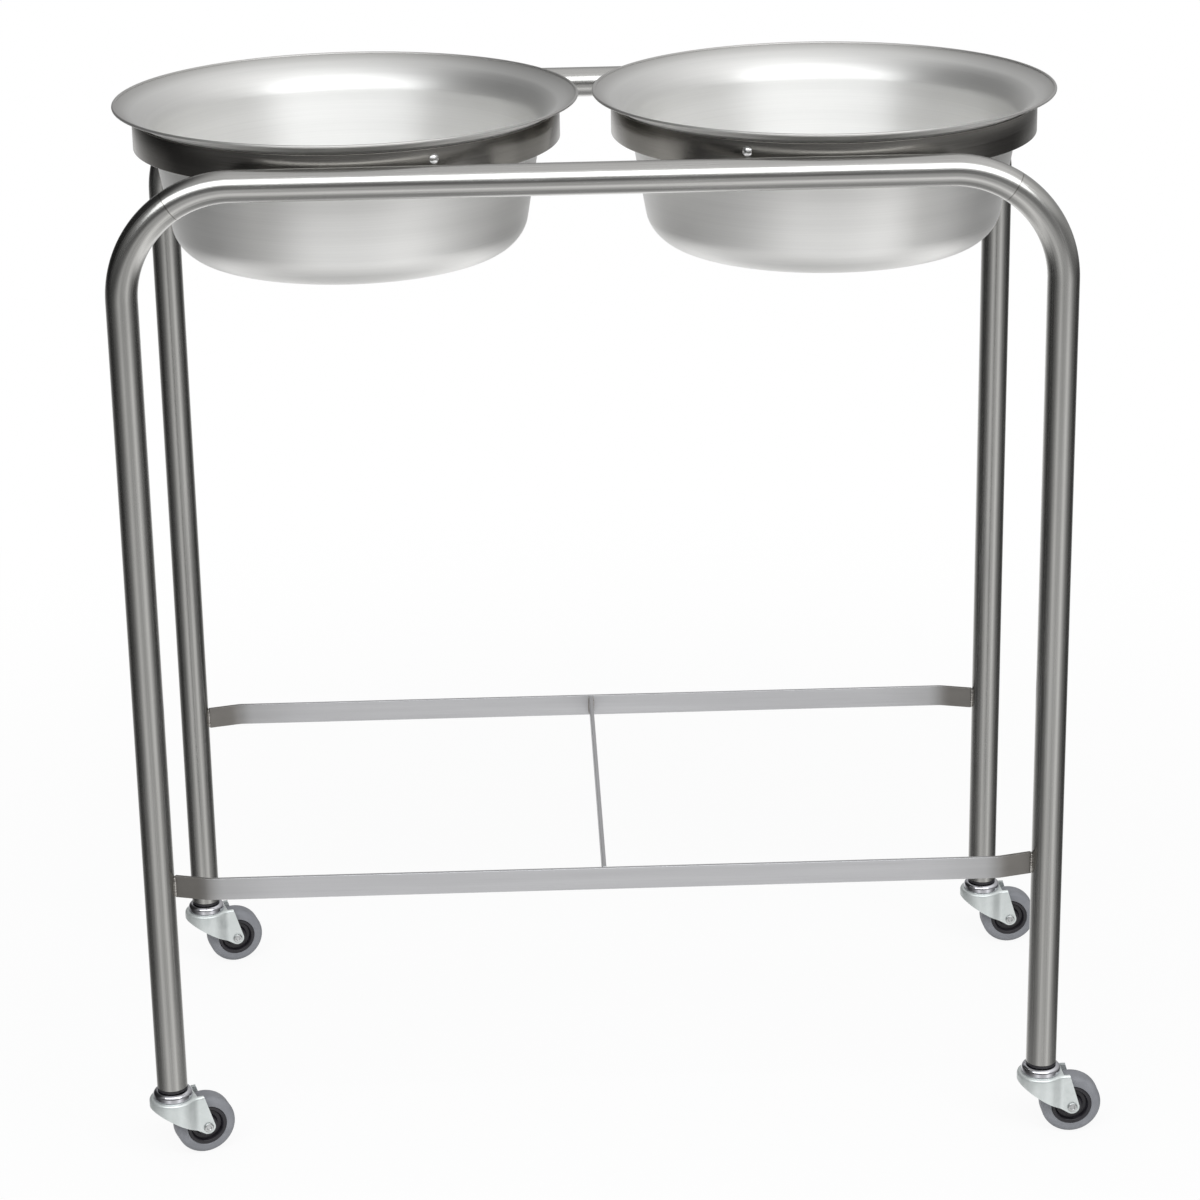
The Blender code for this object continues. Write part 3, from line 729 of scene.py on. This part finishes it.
def makeBasin(side):
    low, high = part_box(side + "_basin")
    centre = (low + high) / 2
    rim = (high.y - low.y) / 2
    slope = tan(basinLook["rimAngle"])
    rimUnder = high.z - basinLook["sheet"] * cos(basinLook["rimAngle"])
    mouth = basinLook["mouth"]
    bendHeight = rimUnder - (rim - mouth) * slope
    foot = mouth - (bendHeight - low.z) * tan(basinLook["taper"])
    shape = lathe([(0, low.z), (foot, low.z), (mouth, bendHeight), (rim, rimUnder)], basinLook["steps"])
    cornerTurn = pi / 2 - basinLook["taper"]
    rimTurn = cornerTurn - basinLook["rimAngle"]
    cornerWidth = basinLook["cornerRadius"] * tan(cornerTurn / 2)
    bendWidth = basinLook["rimBend"] * tan(rimTurn / 2)
    roundCircle(shape, foot, low.z, cornerWidth, basinLook["cornerSteps"])
    roundCircle(shape, mouth, bendHeight, bendWidth, basinLook["rimBendSteps"])
    bmesh.ops.reverse_faces(shape, faces=shape.faces)
    bmesh.ops.translate(shape, verts=shape.verts, vec=(centre.x, centre.y, 0))
    material = brushedMetal(side + "BasinSteel", {
        "centre": (centre.x, centre.y, 0), "round": True,
        "length": 1.2, "fineness": 1300.0, "lineShare": 0.5, "markSize": 9.0,
        "dark": (0.71, 0.706, 0.692), "light": (0.79, 0.786, 0.772),
        "smooth": 0.38, "rough": 0.48, "markDepth": 0.05, "bump": 0.08, "spread": 0.55, "metallic": 0.84,
        # painted shade: the flange's outer ring is darkened to stand in for the darker reflection it shows
        "bands": [{
            "axis": "Z", "middle": 0.0, "start": rim - basinLook["rimShadeBand"],
            "fade": basinLook["rimShadeFade"], "tint": basinLook["rimShadeTint"],
        }],
    })
    finishPiece(
        side + "Basin", shape, material, side + "_basin",
        [side + "_basin"], wall=basinLook["sheet"], edge=basinLook["edge"],
    )
    return material


# the rim's edge is rolled into a thin bead
def makeRimBead(side):
    low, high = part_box(side + "_basin")
    centre = (low + high) / 2
    bead = basinLook["rimBead"]
    middle = high.z - basinLook["sheet"] / 2
    reach = (high.y - low.y) / 2 - bead
    steps = basinLook["beadSteps"]
    angles = [2 * pi * i / steps for i in range(steps + 1)]
    ring = [(reach + bead * cos(angle), middle + bead * sin(angle)) for angle in angles]
    shape = lathe(ring, basinLook["steps"])
    bmesh.ops.translate(shape, verts=shape.verts, vec=(centre.x, centre.y, 0))
    finishPiece(side + "BasinRimBead", shape, basinSteels[side], side + "_basin")


basinSteels = {}
for side in ("left", "right"):
    makeHoop(side)
    makeRivet(side)
    basinSteels[side] = makeBasin(side)
    makeRimBead(side)
print("hoops and basins spun")


# casters

forkLook = {
    "trail": 25.5 * mm,
    "sheet": 1.9 * mm,
    "nose": 20.0 * mm,
    "noseSteps": 56,
    "noseDepth": 6.0 * mm,
    "boss": 6.1 * mm,
    "bossCuts": 20,
    "tipSetback": 2.5 * mm,
    "waistFront": 9.0 * mm,
    "waistRear": 16.0 * mm,
    "waistRound": 2.6 * mm,
    "waistSteps": 6,
    "cheek": 13.4 * mm,
    "fold": 2.6 * mm,
    "foldSteps": 5,
    "openInset": 0.6 * mm,      # of the open crown from the cheeks
    "crownDepth": 0.3 * mm,     # what lies this far under the top counts as crown
    "edge": 0.3 * mm,
}


def makeFork(corner, foot, heading):
    low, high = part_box(corner + "_fork")
    look = forkLook
    top = high.z
    axle = Vector((look["trail"], 0, joints[corner + "_roll"]["pos_m"][2]))
    rear = look["trail"] + 2 * look["boss"]
    waist = acos(look["waistFront"] / look["nose"])
    shape = bmesh.new()
    sweep = {"axis": (0, 0, 1), "angle": 2 * pi - 2 * waist, "steps": look["noseSteps"]}
    first = shape.verts.new((look["nose"] * cos(waist), look["nose"] * sin(waist), top))
    last = pick(bmesh.ops.spin(shape, geom=[first], **sweep)["geom_last"], bmesh.types.BMVert)[0]
    waists = [shape.verts.new((look["waistRear"], hand * look["cheek"], top)) for hand in (1, -1)]
    ends = [shape.verts.new((rear, hand * look["cheek"], top)) for hand in (1, -1)]
    sides = [
        (ends[0], waists[0]), (waists[0], first), (last, waists[1]),
        (waists[1], ends[1]), (ends[1], ends[0]),
    ]
    for pair in sides:
        shape.edges.new(pair)
    bmesh.ops.contextual_create(shape, geom=shape.edges[:])
    bevelSettings = {"offset_type": "OFFSET", "profile": 0.5, "material": -1, "clamp_overlap": False}
    bmesh.ops.bevel(
        shape, geom=waists, offset=look["waistRound"], segments=look["waistSteps"],
        affect="VERTICES", **bevelSettings,
    )
    outline = [edge for edge in shape.edges if min(vert.co.x for vert in edge.verts) < rear - 10 * tiny]
    pushOn(shape, outline, (0, 0, low.z - mm - top))
    bmesh.ops.recalc_face_normals(shape, faces=shape.faces)

    # the crown folds down into the cheeks
    fold = [
        edge for edge in shape.edges
        if all(abs(vert.co.z - top) < tiny for vert in edge.verts) and len(edge.link_faces) == 2
    ]
    bmesh.ops.bevel(
        shape, geom=fold, offset=look["fold"], segments=look["foldSteps"],
        affect="EDGES", **bevelSettings,
    )

    # the side outline is cut by planes that touch the round end about the axle
    nose = Vector((-look["nose"] - look["sheet"], 0, top - look["noseDepth"]))
    tip = Vector((look["trail"] - look["tipSetback"], 0, top))

    def touch(point, hand):
        away = point - axle
        return atan2(away.z, away.x) + hand * acos(look["boss"] / away.length)

    start, end = touch(tip, -1), touch(nose, 1) - 2 * pi
    cuts = look["bossCuts"]
    for step in range(cuts + 1):
        angle = start + (end - start) * step / cuts
        normal = Vector((cos(angle), 0, sin(angle)))
        everything = shape.verts[:] + shape.edges[:] + shape.faces[:]
        bmesh.ops.bisect_plane(
            shape, geom=everything, plane_co=axle + normal * look["boss"], plane_no=normal,
            clear_outer=True, dist=tiny / 2,
        )

    # behind the cup the crown is open between the cheeks
    back = look["waistRear"] + look["sheet"]
    inside = look["cheek"] - look["sheet"] - look["openInset"]

    def isCrown(face):
        return face.calc_center_median().z > top - look["crownDepth"]

    cutsOpen = (((back, 0, 0), (1, 0, 0)), ((0, inside, 0), (0, 1, 0)), ((0, -inside, 0), (0, 1, 0)))
    for place, normal in cutsOpen:
        level = [face for face in shape.faces if isCrown(face)]
        parts = set(level)
        for face in level:
            parts.update(face.edges)
            parts.update(face.verts)
        bmesh.ops.bisect_plane(
            shape, geom=list(parts), plane_co=place, plane_no=normal, dist=tiny / 2,
        )

    def isOpen(face):
        middle = face.calc_center_median()
        return isCrown(face) and middle.x > back and abs(middle.y) < inside

    gone = [face for face in shape.faces if isOpen(face)]
    bmesh.ops.delete(shape, geom=gone, context="FACES")
    bmesh.ops.remove_doubles(shape, verts=shape.verts, dist=2 * tiny)
    bmesh.ops.dissolve_degenerate(shape, edges=shape.edges, dist=2 * tiny)
    bmesh.ops.recalc_face_normals(shape, faces=shape.faces)
    bmesh.ops.rotate(shape, verts=shape.verts, matrix=Matrix.Rotation(heading, 3, "Z"))
    bmesh.ops.translate(shape, verts=shape.verts, vec=(foot.x, foot.y, 0))
    finishPiece(
        corner + "Fork", shape, zincPlate, corner + "_caster",
        [corner + "_fork"], sharp=35.0, wall=look["sheet"], edge=look["edge"],
    )


cupLook = {
    "steps": 96,
    "wall": 1.2 * mm,
    "round": 3.7 * mm,
    "roundSteps": 10,
    "stemHole": 5.3 * mm,
    "edge": 0.2 * mm,
}


def makeCup(corner, foot):
    low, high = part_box(corner + "_bearing_cup")
    radius = (high.x - low.x) / 2
    shape = lathe([(radius, low.z), (radius, high.z), (cupLook["stemHole"], high.z)], cupLook["steps"])
    roundCircle(shape, radius, high.z, cupLook["round"], cupLook["roundSteps"])
    bmesh.ops.translate(shape, verts=shape.verts, vec=(foot.x, foot.y, 0))
    finishPiece(
        corner + "BearingCup", shape, cupChrome, "frame",
        [corner + "_bearing_cup"], wall=cupLook["wall"], edge=cupLook["edge"],
    )


collarLook = {
    "steps": 72,
    "gap": 0.3 * mm,        # under the leg's end and inside its bore
    "round": 0.9 * mm,
    "roundSteps": 5,
    "sleeveRound": 1.5 * mm,
    "sleeveSteps": 4,
}


def makeCollar(corner, foot):
    low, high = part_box(corner + "_socket")
    radius = (high.x - low.x) / 2
    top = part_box("front_frame_tube")[0].z - collarLook["gap"]
    sleeve = radius - tubeLook["wall"] - collarLook["gap"]
    bore = cupLook["stemHole"]
    corners = [
        (bore, low.z), (radius, low.z), (radius, top),
        (sleeve, top), (sleeve, high.z), (bore, high.z),
    ]
    shape = lathe(corners + corners[:1], collarLook["steps"])
    roundCircle(shape, radius, low.z, collarLook["round"], collarLook["roundSteps"])
    roundCircle(shape, sleeve, high.z, collarLook["sleeveRound"], collarLook["sleeveSteps"])
    bmesh.ops.translate(shape, verts=shape.verts, vec=(foot.x, foot.y, 0))
    finishPiece(corner + "Socket", shape, collarPlastic, "frame", [corner + "_socket"])


wheelLook = {
    "steps": 120,
    "tyreHalf": 10.0 * mm,
    "shoulder": 4.5 * mm,
    "shoulderSteps": 10,
    "seatGap": 0.3 * mm,
    "seatRound": 0.8 * mm,
    "hubRim": 2.6 * mm,
    "hubBoss": 3.4 * mm,
    "rimSlope": 1.5,        # where the rim and the boss reach the web, as a share of their widths
    "bossSlope": 1.4,
    "recess": 3.2 * mm,
    "hubWidth": 22.0 * mm,
    "hubRadius": 16.7 * mm,
    "hubRound": 0.7 * mm,
    "roundSteps": 4,
    "bore": 5.2 * mm,
}


def makeWheel(corner):
    look = wheelLook
    roll = joints[corner + "_roll"]
    place = Vector(roll["pos_m"])
    direction = Vector(roll["axis"])
    low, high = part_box(corner + "_tyre")
    radius = (high.z - low.z) / 2
    half = look["tyreHalf"]
    hub = look["hubRadius"]
    seat = hub + look["seatGap"]
    corners = [(seat, -half), (radius, -half), (radius, half), (seat, half)]
    tyre = lathe(corners + corners[:1], look["steps"])
    for height in (-half, half):
        roundCircle(tyre, radius, height, look["shoulder"], look["shoulderSteps"])
        roundCircle(tyre, seat, height, look["seatRound"], look["roundSteps"])
    layOn(tyre, direction, place)
    finishPiece(corner + "Tyre", tyre, tyreRubber, corner + "_wheel", [corner + "_tyre"])

    bore = look["bore"]
    rim, web, boss = look["hubRim"], half - look["recess"], look["hubBoss"]
    face = look["hubWidth"] / 2
    upper = [
        (hub, half), (hub - rim, half), (hub - look["rimSlope"] * rim, web),
        (bore + look["bossSlope"] * boss, web), (bore + boss, face), (bore, face),
    ]
    profile = upper + [(r, -z) for r, z in reversed(upper)]
    shape = lathe(profile + profile[:1], look["steps"])
    for sign in (-1, 1):
        roundCircle(shape, hub - rim, sign * half, look["hubRound"], look["roundSteps"])
        roundCircle(shape, bore + boss, sign * face, look["hubRound"], look["roundSteps"])
    layOn(shape, direction, place)
    finishPiece(corner + "Hub", shape, hubPlastic, corner + "_wheel", [corner + "_hub"])


axleLook = {
    "steps": 48,
    "shank": 3.0 * mm,
    "head": 4.2 * mm,
    "height": 1.5 * mm,
    "gap": 0.3 * mm,        # between the cheek and the head
    "round": 1.1 * mm,
    "roundSteps": 6,
    "dimple": 1.6 * mm,
    "dimpleSlope": 0.4 * mm,
    "dimpleDepth": 0.5 * mm,
}


def makeAxle(corner):
    roll = joints[corner + "_roll"]
    head, dimple = axleLook["head"], axleLook["dimple"]
    under = forkLook["cheek"] + axleLook["gap"]
    top = under + axleLook["height"]
    bottom = top - axleLook["dimpleDepth"]
    upper = [
        (axleLook["shank"], under), (head, under), (head, top),
        (dimple + axleLook["dimpleSlope"], top), (dimple, bottom), (0, bottom),
    ]
    lower = [(r, -z) for r, z in reversed(upper)]
    shape = lathe(lower + upper, axleLook["steps"])
    for sign in (-1, 1):
        roundCircle(shape, head, sign * top, axleLook["round"], axleLook["roundSteps"])
    layOn(shape, Vector(roll["axis"]), Vector(roll["pos_m"]))
    finishPiece(corner + "Axle", shape, axleSteel, corner + "_caster", [corner + "_axle"])


for corner in ("front_left", "front_right", "rear_left", "rear_right"):
    foot = Vector(joints[corner + "_swivel"]["pos_m"])
    trail = Vector(joints[corner + "_roll"]["pos_m"]) - foot
    makeFork(corner, foot, atan2(trail.y, trail.x))
    makeCup(corner, foot)
    makeCollar(corner, foot)
    makeWheel(corner)
    makeAxle(corner)
    for hidden in ("stem", "ball_race", "axle_bush"):
        node = frame["nodes"][corner + "_" + hidden]
        node.data.materials.clear()
        node.data.materials.append(rivetSteel)
print("casters built")


# camera at the photograph's view

cameraLook = {
    "place": (-0.0664, -2.8232, 1.4362),
    "yaw": 0.0253,
    "pitch": 0.3450,
    "roll": -0.0176,
    "lens": 104.6,
    "sensor": 36.0,
}


def makeCamera():
    yaw, pitch, roll = cameraLook["yaw"], cameraLook["pitch"], cameraLook["roll"]
    ahead = Vector((sin(yaw) * cos(pitch), cos(yaw) * cos(pitch), -sin(pitch)))
    right = Vector((cos(yaw), -sin(yaw), 0))
    up = right.cross(ahead)
    across = cos(roll) * right + sin(roll) * up
    upward = -sin(roll) * right + cos(roll) * up
    data = bpy.data.cameras.new("photoCamera")
    data.lens = cameraLook["lens"]
    data.sensor_width = cameraLook["sensor"]
    camera = bpy.data.objects.new("photoCamera", data)
    turn = Matrix((across, upward, -ahead)).transposed().to_4x4()
    camera.matrix_world = Matrix.Translation(cameraLook["place"]) @ turn
    bpy.context.scene.collection.objects.link(camera)
    bpy.context.scene.camera = camera


makeCamera()
print("camera set")


# studio: pale floor, white surround, one large soft lamp and a tent that the metal reflects

studioLook = {
    "floorSize": 30.0,
    "floorWhite": 0.90,             # near the stand, where the floor keeps the shadow
    "floorFade": (0.4, 1.6),
    "paper": (0.85, 0.85, 0.85, 1),
    "fill": 0.62,
    "lampPower": 74.0,
    "lampSize": (5.2, 1.5),
    "lampColour": (0.965, 0.985, 1.0),
    "lampPlace": (0.0, -2.1, 2.5),
    "lampAim": (0, 0, 0.6),
}


def seenDirectly(tree):
    path = addNode(tree, "ShaderNodeLightPath").outputs
    first = mathNode(tree, "MAXIMUM", path["Is Camera Ray"], path["Is Glossy Ray"])
    return mathNode(tree, "MAXIMUM", first, path["Is Transmission Ray"])


def emptyMaterial(name):
    material = bpy.data.materials.new(name)
    material.use_nodes = True
    tree = material.node_tree
    tree.nodes.clear()
    return material, tree, addNode(tree, "ShaderNodeOutputMaterial").inputs["Surface"]


def addStage(name, shape, material):
    mesh = bpy.data.meshes.new(name)
    shape.to_mesh(mesh)
    shape.free()
    mesh.materials.append(material)
    stage = bpy.data.objects.new(name, mesh)
    bpy.context.scene.collection.objects.link(stage)
    return stage


def makeWorld():
    world = bpy.data.worlds.new("studioWorld")
    bpy.context.scene.world = world
    world.use_nodes = True
    tree = world.node_tree
    background = tree.nodes["Background"]
    background.inputs["Color"].default_value = (1, 1, 1, 1)
    level = rangeNode(tree, seenDirectly(tree), 0.0, 1.0, studioLook["fill"], 1.0)
    tree.links.new(level, background.inputs["Strength"])


def makeFloor():
    shape = bmesh.new()
    bmesh.ops.create_grid(shape, x_segments=1, y_segments=1, size=studioLook["floorSize"] / 2)
    material, tree, surface = emptyMaterial("floorPaper")
    paper = addNode(tree, "ShaderNodeBsdfDiffuse", inputs={"Color": studioLook["paper"]})
    white = addNode(tree, "ShaderNodeEmission", inputs={"Color": (1, 1, 1, 1), "Strength": 1.0})
    away = vectorNode(tree, "LENGTH", objectPlace(tree))
    start, finish = studioLook["floorFade"]
    fade = rangeNode(tree, away, start, finish, studioLook["floorWhite"], 1.0, "SMOOTHSTEP")
    share = mathNode(tree, "MULTIPLY", fade, seenDirectly(tree))
    both = addNode(tree, "ShaderNodeMixShader", inputs={
        0: share, 1: paper.outputs[0], 2: white.outputs[0],
    })
    tree.links.new(both.outputs[0], surface)
    floor = addStage("studioFloor", shape, material)
    floor.visible_glossy = False    # the tent takes its place in reflections


# only reflections see the tent; it stands before the white surround and the floor there. The ramps go round
# it from the front, 0, to straight behind, 1, or up it from straight down, 0, over the horizon, 0.5, to
# overhead, 1
tentLook = {
    "radius": 8.0,
    "meshSteps": (48, 24),
    "turn": radians(9.0),
    "lowRound": [
        (0.0, 0.63), (0.07, 0.68), (0.16, 1.10), (0.25, 0.60), (0.34, 0.26), (0.48, 0.08),
        (0.62, 0.05), (0.76, 0.30), (0.86, 0.65), (0.93, 0.90), (1.0, 1.05),
    ],
    "lowUp": [
        (0.0, 0.35), (0.09, 0.85), (0.18, 1.45), (0.265, 1.05), (0.33, 1.0),
        (0.40, 1.2), (0.45, 0.80), (0.50, 0.25),
    ],
    "frontUp": [(0.50, 0.25), (0.63, 0.22), (0.72, 0.70), (0.85, 0.90), (1.0, 1.0)],
    "behindUp": [(0.50, 0.30), (0.58, 0.42), (0.67, 0.45), (0.80, 0.55), (0.93, 0.95), (1.0, 1.0)],
    "highRound": [(0.0, 1.0), (0.28, 0.95), (0.50, 0.95), (0.72, 0.85), (1.0, 0.92)],
    "behindSpan": (0.30, 0.70),     # from the front's ramp to that behind
    "horizon": (-0.10, 0.06),
    "nearSpan": (-0.38, -0.70),     # close to the stand the floor is lit all round
    "nearLevel": 1.12,
    "roomSpan": (-0.9, 0.7),        # darker on the left, most of all above the floor
    "roomLow": (0.82, 1.06),
    "roomHigh": (0.50, 1.26),
    "darkCorner": (-0.72, 0.50, 0.45),
    "cornerSpan": (0.93, 0.66),
    "cornerLevel": 0.12,
}


def makeTent():
    look = tentLook
    shape = bmesh.new()
    around, up = look["meshSteps"]
    bmesh.ops.create_uvsphere(shape, u_segments=around, v_segments=up, radius=look["radius"])
    bmesh.ops.reverse_faces(shape, faces=shape.faces)
    material, tree, surface = emptyMaterial("tentCloth")
    # its light under the floor would be lost to the floor's shadow
    material.cycles.emission_sampling = "NONE"
    way = vectorNode(tree, "NORMALIZE", objectPlace(tree))
    x, y, z = addNode(tree, "ShaderNodeSeparateXYZ", inputs={0: way}).outputs
    angle = mathNode(tree, "ARCTAN2", x, mathNode(tree, "MULTIPLY", y, -1.0))
    turn = mathNode(tree, "DIVIDE", mathNode(tree, "ABSOLUTE", angle), pi)
    height = rangeNode(tree, z, -1.0, 1.0)

    def smoothSpan(value, span, before=0.0, after=1.0):
        return rangeNode(tree, value, *span, before, after, "SMOOTHSTEP")

    def product(first, second):
        return mathNode(tree, "MULTIPLY", first, second)

    near = smoothSpan(z, look["nearSpan"])
    floorRound = mixNode(tree, near, rampNode(tree, turn, look["lowRound"]), look["nearLevel"])
    low = product(floorRound, rampNode(tree, height, look["lowUp"]))
    low = product(low, smoothSpan(x, look["roomSpan"], *look["roomLow"]))

    front = rampNode(tree, height, look["frontUp"])
    behind = rampNode(tree, height, look["behindUp"])
    sky = mixNode(tree, smoothSpan(turn, look["behindSpan"]), front, behind)
    high = product(sky, rampNode(tree, turn, look["highRound"]))
    high = product(high, smoothSpan(x, look["roomSpan"], *look["roomHigh"]))
    # a dark corner of the room stands high up on the left, a little behind
    corner = vectorNode(tree, "DOT_PRODUCT", way, Vector(look["darkCorner"]).normalized())
    high = product(high, smoothSpan(corner, look["cornerSpan"], look["cornerLevel"]))

    level = mixNode(tree, rangeNode(tree, z, *look["horizon"]), low, high)
    glow = addNode(tree, "ShaderNodeEmission", inputs={"Color": (1, 1, 1, 1), "Strength": level})
    tree.links.new(glow.outputs[0], surface)
    tent = addStage("reflectionTent", shape, material)
    tent.rotation_euler.z = look["turn"]
    tent.visible_camera = False
    tent.visible_diffuse = False
    tent.visible_shadow = False
    tent.visible_transmission = False


def makeLamp():
    data = bpy.data.lights.new("softLamp", "AREA")
    data.shape = "RECTANGLE"
    data.size, data.size_y = studioLook["lampSize"]
    data.energy = studioLook["lampPower"]
    data.color = studioLook["lampColour"]
    lamp = bpy.data.objects.new("softLamp", data)
    aim = Vector(studioLook["lampAim"]) - Vector(studioLook["lampPlace"])
    lamp.rotation_euler = aim.to_track_quat("-Z", "Y").to_euler()
    lamp.location = studioLook["lampPlace"]
    bpy.context.scene.collection.objects.link(lamp)


makeWorld()
makeFloor()
makeTent()
makeLamp()
bpy.context.scene.view_settings.view_transform = "Standard"
print("studio ready")
